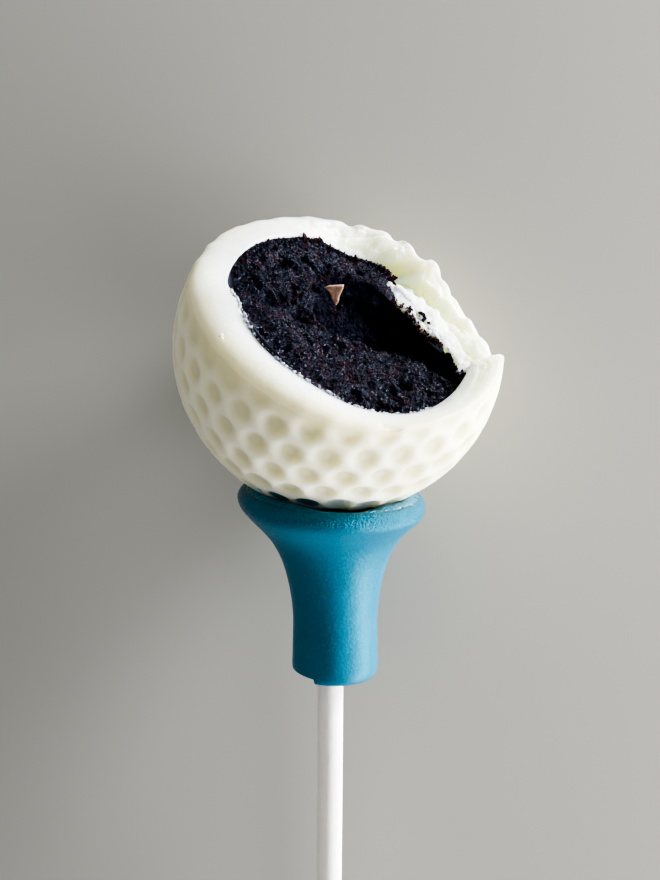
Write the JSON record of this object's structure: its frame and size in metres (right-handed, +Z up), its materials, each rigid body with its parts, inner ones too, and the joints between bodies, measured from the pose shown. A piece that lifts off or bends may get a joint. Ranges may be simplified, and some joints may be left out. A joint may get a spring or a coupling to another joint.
{
  "type": "cake pop",
  "caption": "Ball-shaped cake pop, bitten open: dimpled white coating over dark cake, seated in a blue sugar-paste tee on a white paper stick, lying with the bitten side up.",
  "frame": {"origin": "centre of the small flat spot under the ball, which the pop rests on", "axes": "+Z up, out of the surface it lies on; +Y towards the ball's top, away from the stick; +X to the right as seen from above with the stick pointing down the page; the bite faces +X, +Y and +Z"},
  "size_m": [0.0434, 0.1761, 0.0406],
  "materials": {
    "white_coating": "waxy white confectionery coating, satin",
    "chocolate_cake": "moist, very dark crumb, stands in for cake",
    "nut": "broken nut",
    "blue_sugar_paste": "smooth blue sugar paste, satin",
    "white_paper": "tightly rolled white paper"
  },
  "bodies": {
    "root": {"coating": "white_coating", "coating_flake": "white_coating", "cake": "chocolate_cake", "nut_piece": "nut", "tee": "blue_sugar_paste", "stick": "white_paper"}
  },
  "joints": []
}
